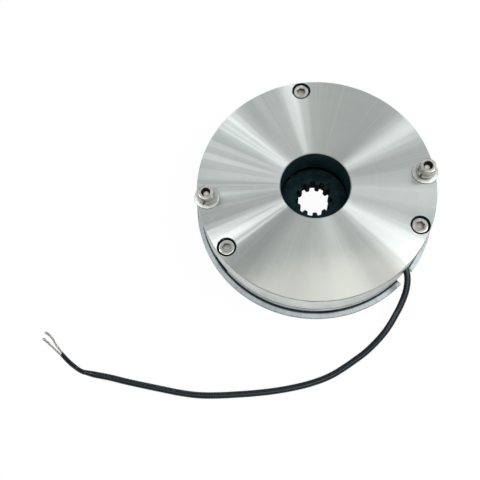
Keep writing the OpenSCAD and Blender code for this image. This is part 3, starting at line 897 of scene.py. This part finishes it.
def make_magnet_body(face, rim, bore):
    """The magnet body: a turned shell with coil slot, screw holes, spring pockets and the lead's recess."""
    slot_top = POLE_Z + COIL_DEPTH
    profile = [
        (BORE_R, POLE_Z), (COIL_IN_R, POLE_Z), (COIL_IN_R, slot_top), (COIL_OUT_R, slot_top),
        (COIL_OUT_R, POLE_Z), (DISC_R - EDGE, POLE_Z), (DISC_R, POLE_Z + EDGE),
        (DISC_R, FACE_Z - FACE_CHAMFER), (DISC_R - FACE_CHAMFER, FACE_Z),
        (BORE_R + BORE_CHAMFER, FACE_Z), (BORE_R, FACE_Z - BORE_CHAMFER),
    ]
    shell = turned_piece("magnet_shell", profile, steps=256)
    low = POLE_Z - PAST
    cutters = []
    for angle in MOUNTING_ANGLES:
        place = polar_place(SCREW_R, angle)
        cutters.append(drill("bore", SHANK_HOLE_R, low, SEAT_Z + PAST, place))
        cutters.append(drill("seat", COUNTERBORE_R, SEAT_Z, FACE_Z, place, steps=96, mouth=SEAT_CHAMFER))
    for angle in RELEASE_ANGLES.values():
        cutters.append(drill("bore", SHANK_HOLE_R, low, FACE_Z + PAST, polar_place(SCREW_R, angle)))
    for angle in SPRING_ANGLES:
        place = polar_place(SPRING_CIRCLE_R, angle)
        cutters.append(drill("pocket", SPRING_POCKET_R, low, POLE_Z + SPRING_POCKET_DEPTH, place))
    cutters.append(slot_cutter("recess", RECESS_FLOOR_R, FLANGE_R, RECESS_W, RECESS_ROUND,
                               low, POLE_Z + RECESS_H, CORD_ANGLE))
    cut(shell, cutters)
    coat(shell, face, rim, bore)
    seats = [Vector(polar_place(SCREW_R, angle)[:2]) for angle in MOUNTING_ANGLES]
    for polygon in shell.data.polygons:
        centre = polygon.center / MM
        on_face = polygon.normal.z > 0.99 and centre.z > FACE_Z - 0.2
        in_bore = abs(polygon.normal.z) < 0.1 and centre.xy.length < BORE_R + 0.1
        near_seat = any((centre.xy - seat).length < COUNTERBORE_R + SEAT_CHAMFER for seat in seats)
        in_seat = near_seat and centre.z > SEAT_Z - 0.1
        # Faces in the counterbore seats take the bore's near-black finish as painted shade.
        polygon.material_index = 0 if on_face else 2 if in_bore or in_seat else 1
    smooth(shell)
    stand_in(shell, "brake_body", "turned_steel", "magnet_body")


def make_armature(material):
    """The armature plate: a ground disc with a notch for each spacer sleeve and two tapped holes."""
    profile = [
        (PLATE_BORE_R, ARMATURE_Z + EDGE), (PLATE_BORE_R + EDGE, ARMATURE_Z), (DISC_R - EDGE, ARMATURE_Z),
        (DISC_R, ARMATURE_Z + EDGE), (DISC_R, ARMATURE_TOP_Z - EDGE), (DISC_R - EDGE, ARMATURE_TOP_Z),
        (PLATE_BORE_R + EDGE, ARMATURE_TOP_Z), (PLATE_BORE_R, ARMATURE_TOP_Z - EDGE),
    ]
    plate = turned_piece("armature_disc", profile, steps=256)
    low, high = ARMATURE_Z - PAST, ARMATURE_TOP_Z + PAST
    width = 2 * ARMATURE_NOTCH_R
    corner = ARMATURE_NOTCH_R - 0.01
    cutters = []
    for angle in MOUNTING_ANGLES:
        cutters.append(slot_cutter("notch", SCREW_R - ARMATURE_NOTCH_R, DISC_R + 2 * PAST, width, corner,
                                   low, high, angle))
    for angle in RELEASE_ANGLES.values():
        cutters.append(drill("thread", TAPPED_R, low, high, polar_place(SCREW_R, angle)))
    cut(plate, cutters)
    coat(plate, material)
    smooth(plate)
    stand_in(plate, "armature", "armature_steel", "armature_plate")


def make_flange(material):
    """The flange: a plated ring with the lead's cut-out, three tapped holes and three countersunk ones."""
    profile = [
        (PLATE_BORE_R, 0.0), (FLANGE_R - FLANGE_EDGE, 0.0), (FLANGE_R, FLANGE_EDGE),
        (FLANGE_R, FLANGE_T - FLANGE_EDGE), (FLANGE_R - 0.1, FLANGE_T - 0.08),
        (FLANGE_R - FLANGE_EDGE, FLANGE_T), (PLATE_BORE_R, FLANGE_T),
    ]
    ring = turned_piece("flange_ring", profile, steps=256)
    cutters = [slot_cutter("notch", FLANGE_R - NOTCH_DEPTH, FLANGE_R + 2 * PAST, NOTCH_W, NOTCH_ROUND,
                           -PAST, FLANGE_T + PAST, NOTCH_ANGLE)]
    for angle in MOUNTING_ANGLES:
        cutters.append(drill("thread", TAPPED_R, -PAST, FLANGE_T + PAST, polar_place(SCREW_R, angle)))
    for angle in FIXING_ANGLES:
        cutters.append(drill("sink", FIXING_R, -PAST, FLANGE_T, polar_place(SCREW_R, angle),
                             steps=96, mouth=SINK_R - FIXING_R, sides_turn=0))
    cut(ring, cutters)
    coat(ring, material)
    smooth(ring)
    stand_in(ring, "brake_body", "zinc_plated", "flange_plate")


def make_hub(material, spline):
    """The rotor hub: a black turned boss with round-nosed spline teeth and two drilled marks."""
    carrier_z = low_mm("rotor_disc").z
    flange_z = low_mm("hub_rivets").z
    inner_r = HUB_CORE_R - 0.5
    profile = [
        (inner_r, HUB_Z), (HUB_R - HUB_EDGE, HUB_Z), (HUB_R, HUB_Z + HUB_EDGE), (HUB_R, flange_z),
        (HUB_FLANGE_R, flange_z), (HUB_FLANGE_R, carrier_z), (HUB_R, carrier_z),
        (HUB_R, HUB_TOP_Z - HUB_EDGE), (HUB_R - 0.3 * HUB_EDGE, HUB_TOP_Z - 0.3 * HUB_EDGE),
        (HUB_R - HUB_EDGE, HUB_TOP_Z), (inner_r, HUB_TOP_Z),
    ]
    hub = turned_piece("splined_hub", profile)
    core = turned_piece("core", [(HUB_CORE_R, HUB_Z), (HUB_CORE_R, HUB_TOP_Z)], 96, closed=False)
    low, high = HUB_Z - PAST, HUB_TOP_Z + PAST
    cut(core, [drill("valleys", SPLINE_ROOT_R, low, high, steps=132, sides_turn=0)])
    turns = [TOOTH_ANGLE + 360 * k / SPLINE_TEETH for k in range(SPLINE_TEETH)]
    teeth = spread(spline_tooth(), [((0, 0, 0), turn) for turn in turns])
    cut(hub, [core], "UNION")
    cut(hub, teeth, "UNION")
    places = [polar_place(MARK_CIRCLE_R, angle) for angle in MARK_ANGLES]
    cut(hub, [drill("mark", MARK_R, HUB_TOP_Z - PAST, high, place, steps=32) for place in places])
    coat(hub, material, spline)
    for polygon in hub.data.polygons:
        in_middle = (polygon.center / MM).xy.length < SPLINE_ROOT_R + 0.1
        polygon.material_index = 1 if in_middle and abs(polygon.normal.z) < 0.1 else 0
    smooth(hub)
    stand_in(hub, "rotor", "black_steel", "rotor_hub")


def spline_tooth():
    """One tooth, on the X axis: a bar that narrows inwards, its two inner edges rounded."""
    end_x = SPLINE_TIP_R + TOOTH_LENGTH
    tooth = bar("tooth", SPLINE_TIP_R, end_x, TOOTH_TIP_W, HUB_Z, HUB_TOP_Z)
    edit_only(tooth, "VERT", lambda point: point.x > end_x - 1)
    bpy.ops.transform.resize(value=(1, TOOTH_END_W / TOOTH_TIP_W, 1), center_override=(0, 0, 0))
    round_inner_edges(tooth, SPLINE_TIP_R + 1, TOOTH_ROUND, 6)
    return tooth


def cap_screw(name, tip_z, head_z, socket_turn):
    """A socket head cap screw on the Z axis, from its tip to its head, which stands on head_z."""
    root_r = THREAD_R - THREAD_DEPTH
    top = head_z + HEAD_T
    profile = [(root_r - THREAD_DEPTH, tip_z), (root_r, tip_z + 0.45)]
    # Each turn of the thread is a ring: out to its crest, along the crest and in again.
    for turn in range(int(head_z - tip_z - 3)):
        z = tip_z + 0.6 + turn * THREAD_PITCH
        profile += [(THREAD_R, z + 0.35), (THREAD_R, z + 0.5), (root_r, z + 0.85)]
    profile += [
        (THREAD_R, head_z - NECK), (THREAD_R, head_z), (HEAD_R - HEAD_EDGE, head_z),
        (HEAD_R, head_z + HEAD_EDGE), (HEAD_R, head_z + KNURL_LOW), (HEAD_R, head_z + KNURL_HIGH),
        (HEAD_R, top - HEAD_CHAMFER), (HEAD_R - HEAD_EDGE, top - HEAD_EDGE), (HEAD_R - HEAD_CHAMFER, top),
        (HEAD_R - 1.1, top),
    ]
    screw = turned_piece(name, profile, SCREW_STEPS, closed=False)
    corner = SOCKET_FLATS / 2 / math.cos(math.pi / 6)
    socket = drill("socket", corner, top - SOCKET_DEPTH, top + PAST, steps=6, sides_turn=socket_turn)
    mouth = turned_piece("mouth", [(corner - 0.45, top - 0.5), (corner + 0.15, top + 0.1)], 48, closed=False)
    cut(screw, [socket, mouth])
    knurl(screw, head_z)
    return screw


def knurl(screw, head_z):
    """Presses upright grooves into a head's side: every other line of points goes in a little."""
    low, high = head_z + KNURL_LOW - 0.1, head_z + KNURL_HIGH + 0.1

    def in_groove(point):
        line = round(math.degrees(math.atan2(point.y, point.x)) * SCREW_STEPS / 360)
        return line % 2 == 1 and low < point.z < high and point.xy.length > HEAD_R - 0.02

    edit_only(screw, "VERT", in_groove)
    shrink = 1 - KNURL_DEPTH / HEAD_R
    bpy.ops.transform.resize(value=(shrink, shrink, 1), center_override=(0, 0, 0))
    bpy.ops.object.mode_set(mode="OBJECT")


def placed_screw(name, tip_z, head_z, angle, socket_turn, finishes):
    """A cap screw on the screws' circle. It has a finish all over, one on its socket's walls and one on the
    socket's floor."""
    screw = cap_screw(name, tip_z, head_z, socket_turn)
    place = polar_place(SCREW_R, angle)
    settle(screw, place)
    coat(screw, *finishes)
    top = head_z + HEAD_T
    for polygon in screw.data.polygons:
        centre = polygon.center / MM
        in_middle = (centre.xy - Vector(place[:2])).length < THREAD_R
        inside = in_middle and top - SOCKET_DEPTH - 0.1 < centre.z < top - 0.02
        shaded_wall = abs(polygon.normal.z) < 0.5
        polygon.material_index = 0 if not inside else 1 if shaded_wall else 2
    return screw


def make_mounting_screws(finishes):
    """Three cap screws in the magnet body's counterbores, each with its socket turned its own way."""
    tip_z = low_mm("mounting_screws").z
    made = []
    for angle, socket_turn in zip(MOUNTING_ANGLES, MOUNTING_SOCKET_TURNS):
        made.append(placed_screw("mounting_screw", tip_z, SEAT_Z, angle, socket_turn, finishes))
    screws = join(made, "mounting_cap_screws")
    smooth(screws)
    stand_in(screws, "brake_body", "stainless", "mounting_screws")


def make_sleeves(material):
    """Three turned spacer sleeves round the mounting screws."""
    profile = [
        (SHANK_HOLE_R, FLANGE_T), (SLEEVE_R - EDGE, FLANGE_T), (SLEEVE_R, FLANGE_T + EDGE),
        (SLEEVE_R, POLE_Z - EDGE), (SLEEVE_R - EDGE, POLE_Z), (SHANK_HOLE_R, POLE_Z),
    ]
    sleeve = turned_piece("sleeve", profile, steps=96)
    made = spread(sleeve, [(polar_place(SCREW_R, angle), 0) for angle in MOUNTING_ANGLES])
    sleeves = join(made, "spacer_bushes")
    coat(sleeves, material)
    smooth(sleeves)
    stand_in(sleeves, "brake_body", "sleeve_steel", "spacer_sleeves")


def make_release_screw(side, finishes):
    node = "release_screw_" + side
    head_z = high_mm(node).z - HEAD_T
    screw = placed_screw("release_cap_screw_" + side, low_mm(node).z, head_z, RELEASE_ANGLES[side],
                         RELEASE_SOCKET_TURNS[side], finishes)
    smooth(screw)
    stand_in(screw, side + "_release_screw", "stainless", node)


def make_lock_washer(side, material):
    """A split spring washer: a square ring cut through on the slant, a hair lower than the screw's head."""
    node = "lock_washer_" + side
    z0 = low_mm(node).z
    z1 = high_mm(node).z - 0.03
    r_in = THREAD_R + LOCK_GAP
    r_out = (high_mm(node).x - low_mm(node).x) / 2
    profile = [
        (r_in, z0 + LOCK_EDGE), (r_in + LOCK_EDGE, z0), (r_out - LOCK_EDGE, z0), (r_out, z0 + LOCK_EDGE),
        (r_out, z1 - LOCK_EDGE), (r_out - LOCK_EDGE, z1), (r_in + LOCK_EDGE, z1), (r_in, z1 - LOCK_EDGE),
    ]
    ring = turned_piece("lock_ring_" + side, profile, steps=96)
    slit = bar("slit", 0, 2 * r_out, LOCK_SLIT_W, -LOCK_SLIT_REACH, LOCK_SLIT_REACH)
    settle(slit, (0, 0, (z0 + z1) / 2), LOCK_SLIT_ANGLES[side], LOCK_SLIT_SLANT)
    cut(ring, [slit])
    settle(ring, polar_place(SCREW_R, RELEASE_ANGLES[side]))
    coat(ring, material)
    smooth(ring)
    stand_in(ring, side + "_lock_washer", "stainless", node)


def make_flat_washer(side, material):
    """A stamped flat washer: its upper outer edge is drawn round, its lower one is sharp."""
    node = "flat_washer_" + side
    z0 = low_mm(node).z
    z1 = high_mm(node).z
    r_out = (high_mm(node).x - low_mm(node).x) / 2
    profile = [
        (SHANK_HOLE_R, z0), (r_out, z0), (r_out, z1 - 0.35), (r_out - 0.1, z1 - 0.12),
        (r_out - 0.35, z1), (SHANK_HOLE_R + 0.2, z1), (SHANK_HOLE_R, z1 - 0.15),
    ]
    washer = turned_piece("plain_washer_" + side, profile, steps=128)
    settle(washer, polar_place(SCREW_R, RELEASE_ANGLES[side]))
    coat(washer, material)
    smooth(washer)
    stand_in(washer, "brake_body", "stainless", node)


def make_springs(material):
    """Six round-wire pressure springs between the pockets and the armature."""
    pocket_top = POLE_Z + SPRING_POCKET_DEPTH
    low = ARMATURE_TOP_Z + SPRING_WIRE_R + SPRING_END_GAP
    high = pocket_top - SPRING_WIRE_R - SPRING_END_GAP
    steps = 12
    total = SPRING_TURNS * steps
    points = []
    for i in range(total + 1):
        z = low + (high - low) * i / total
        points.append(Vector(polar_place(SPRING_COIL_R, 360 * i / steps, z)) * MM)
    spring = curve_piece("spring", points, SPRING_WIRE_R * MM, resolution=3, roundness=3)
    pick(spring)
    bpy.ops.object.convert(target="MESH")
    made = spread(spring, [(polar_place(SPRING_CIRCLE_R, angle), 0) for angle in SPRING_ANGLES])
    springs = join(made, "coil_springs")
    bpy.ops.object.shade_smooth()
    coat(springs, material)
    stand_in(springs, "brake_body", "spring_steel", "pressure_springs")
    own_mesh(springs)


def make_grommet(material):
    """The rubber block that holds the lead in the magnet body's recess."""
    width = RECESS_W - 2 * GROMMET_GAP
    block = slot_cutter("lead_grommet", RECESS_FLOOR_R, CORD_START_R, width, RECESS_ROUND,
                        POLE_Z + GROMMET_RISE, POLE_Z + RECESS_H - GROMMET_GAP)
    pick(block)
    bevel = block.modifiers.new("soft edges", "BEVEL")
    bevel.width = GROMMET_EDGE * MM
    bevel.segments = 3
    bpy.ops.object.modifier_apply(modifier=bevel.name)
    settle(block, turn_deg=CORD_ANGLE)
    coat(block, material)
    smooth(block)
    stand_in(block, "brake_body", "black_rubber", "cord_grommet")


# Floor and light.

FLOOR_SIZE = 6.0
FLOOR_Z = -0.0002
# How much of the floor's own white the camera sees, and how much of it the metal mirrors.
WHITE_SHARE = 0.95
MIRRORED_SHARE = 0.28


def make_floor():
    """A pale floor that shows white to the camera and a light grey in the metal, and keeps the shadow."""
    deselect()
    bpy.ops.mesh.primitive_plane_add(size=FLOOR_SIZE, location=(0, 0, FLOOR_Z))
    floor = bpy.context.object
    floor.name = "floor"
    f = Finish("white_floor", (0.86, 0.87, 0.87), 0.0, 0.9)
    glow = f.add("ShaderNodeEmission")
    glow.inputs["Color"].default_value = (1, 1, 1, 1)
    glow.inputs["Strength"].default_value = 1.0
    rays = f.add("ShaderNodeLightPath").outputs
    straight = f.math("MAXIMUM", rays["Is Camera Ray"], rays["Is Transmission Ray"])
    mirrored = f.math("MULTIPLY", rays["Is Glossy Ray"], MIRRORED_SHARE)
    mix = f.add("ShaderNodeMixShader")
    f.feed(mix.inputs[0], f.math("MAXIMUM", f.math("MULTIPLY", straight, WHITE_SHARE), mirrored))
    f.feed(mix.inputs[1], f.shader.outputs[0])
    f.feed(mix.inputs[2], glow.outputs[0])
    f.feed(f.tree.nodes["Material Output"].inputs["Surface"], mix.outputs[0])
    coat(floor, f.material)


# Lamps as they show in the turned face: the wedge's angle round the shaft axis in degrees, how far out
# from the mirror direction the lamp begins and ends, its width on the same scale, its strength and, where
# it isn't white, its colour. All stand at the same distance, in metres. SKY_LEVEL is the grey of the
# studio round them.
LAMP_DISTANCE = 1.2
SKY_LEVEL = 0.34
LAMPS = [
    ("panel_back_right", 11, 0.15, 0.60, 0.30, 0.4),
    ("strip_back_right", 23, 0.25, 0.65, 0.03, 3.1),
    ("panel_top_right", 62, 0.15, 0.45, 0.32, 0.38),
    ("strip_top", 97, 0.44, 0.57, 0.02, 26.0),
    ("strip_top_soft", 99, 0.20, 0.44, 0.05, 1.2),
    ("panel_back", 127, 0.15, 0.45, 0.20, 0.6),
    ("strip_back", 137, 0.20, 0.50, 0.04, 3.0),
    ("strip_corner", 162, 0.08, 0.34, 0.02, 6.5),
    ("strip_far_left", 181, 0.50, 0.80, 0.08, 5.2),
    ("strip_left", 205, 0.60, 1.00, 0.06, 22.0),
    ("panel_front_left", 241, 0.60, 1.05, 0.30, 2.3, (1, 0.99, 0.95)),
    ("panel_front", 270, 0.65, 1.15, 0.50, 3.3, (1, 0.985, 0.93)),
    ("strip_front", 286, 0.80, 1.00, 0.02, 14.0, (1, 1, 0.97)),
    ("strip_front_right", 296, 0.65, 1.05, 0.24, 1.9, (1, 0.99, 0.96)),
    ("panel_right", 317, 0.60, 0.95, 0.25, 9.8),
    ("strip_far_right", 344, 0.30, 0.60, 0.14, 1.5, (0.97, 0.99, 1)),
]


def make_lamp(name, angle, near, far, width, strength, color=(1, 1, 1)):
    """An area lamp that shines on the middle of the face, and shows there as a wedge at the given angle."""
    centre = Vector((0, 0, FACE_Z * MM))
    view = (Vector(CAMERA_PLACE) - centre).normalized()
    out = Vector(polar_place(1, angle))
    flat = out * (near + far) / 2 - Vector((view.x, view.y, 0))
    toward = Vector((flat.x, flat.y, math.sqrt(1 - flat.length_squared)))
    along = out - Vector((0, 0, flat.dot(out) / toward.z))
    length = (far - near) * along.length * LAMP_DISTANCE
    area = (far - near) * width / toward.z * LAMP_DISTANCE ** 2
    along.normalize()
    across = along.cross(toward)
    data = bpy.data.lights.new(name, "AREA")
    data.shape = "RECTANGLE"
    data.size = area / length
    data.size_y = length
    data.energy = strength * math.pi * area
    data.color = color
    lamp = bpy.data.objects.new(name, data)
    turn = Matrix((across, along, toward)).transposed().to_4x4()
    lamp.matrix_world = Matrix.Translation(centre + toward * LAMP_DISTANCE) @ turn
    bpy.context.scene.collection.objects.link(lamp)


def make_sky():
    """A plain grey studio all round, which shows white to the camera like the floor."""
    world = bpy.data.worlds.new("studio")
    world.use_nodes = True
    tree = world.node_tree
    rays = tree.nodes.new("ShaderNodeLightPath")
    straight = tree.nodes.new("ShaderNodeMath")
    straight.operation = "MAXIMUM"
    tree.links.new(rays.outputs["Is Camera Ray"], straight.inputs[0])
    tree.links.new(rays.outputs["Is Transmission Ray"], straight.inputs[1])
    level = tree.nodes.new("ShaderNodeMapRange")
    tree.links.new(straight.outputs[0], level.inputs["Value"])
    level.inputs["To Min"].default_value = SKY_LEVEL
    level.inputs["To Max"].default_value = 1.0
    back = tree.nodes["Background"]
    back.inputs["Color"].default_value = (1, 1, 1, 1)
    tree.links.new(level.outputs[0], back.inputs["Strength"])
    bpy.context.scene.world = world


def make_light():
    make_sky()
    for lamp in LAMPS:
        make_lamp(*lamp)


def coat_plain_nodes(lining, sleeve):
    """The CAD nodes that show as they are get their finishes."""
    finishes = {
        "coil_bobbin": bobbin_nylon(),
        "coil_winding": copper_winding(),
        "coil_potting": cast_resin(),
        "coil_leads": red_lead(),
        "rotor_disc": rotor_sheet(),
        "lining_upper": lining,
        "lining_lower": lining,
        "hub_rivets": sleeve,
    }
    for node, material in finishes.items():
        coat(nodes_of[node], material)


def main():
    make_camera()
    make_lead(black_pvc(), tinned_copper())
    make_magnet_body(turned_face_steel(), turned_rim_steel(), blackened_bore())
    make_armature(ground_armature_steel())
    make_flange(zinc_plate())
    make_hub(black_oxide(), phosphated_spline())

    # The screws, with what sits round them.
    steel = stainless()
    # Sockets: the walls' dark colours are painted shade; the release screws' floors are a painted lit beige
    # with painted shade round it.
    dull_wall = socket_steel("dull_wall", (0.04, 0.04, 0.038), (0.13, 0.13, 0.125))
    dull_floor = socket_steel("dull_floor", (0.34, 0.33, 0.31), (0.56, 0.55, 0.52))
    oily_wall = socket_steel("oily_wall", (0.010, 0.009, 0.008), (0.03, 0.028, 0.026))
    oily_floor = socket_steel("oily_floor", (0.50, 0.47, 0.42), (0.72, 0.69, 0.63), lit_r=1.6)
    bush = sleeve_steel()
    washer = plated_washer()
    make_mounting_screws((steel, dull_wall, dull_floor))
    make_sleeves(bush)
    for side in RELEASE_ANGLES:
        make_release_screw(side, (steel, oily_wall, oily_floor))
    for side in RELEASE_ANGLES:
        make_lock_washer(side, washer)
    for side in RELEASE_ANGLES:
        make_flat_washer(side, washer)

    make_springs(spring_wire())
    make_grommet(moulded_rubber())
    coat_plain_nodes(friction_lining(), bush)
    make_floor()
    make_light()
    bpy.context.scene.view_settings.view_transform = "Standard"


main()
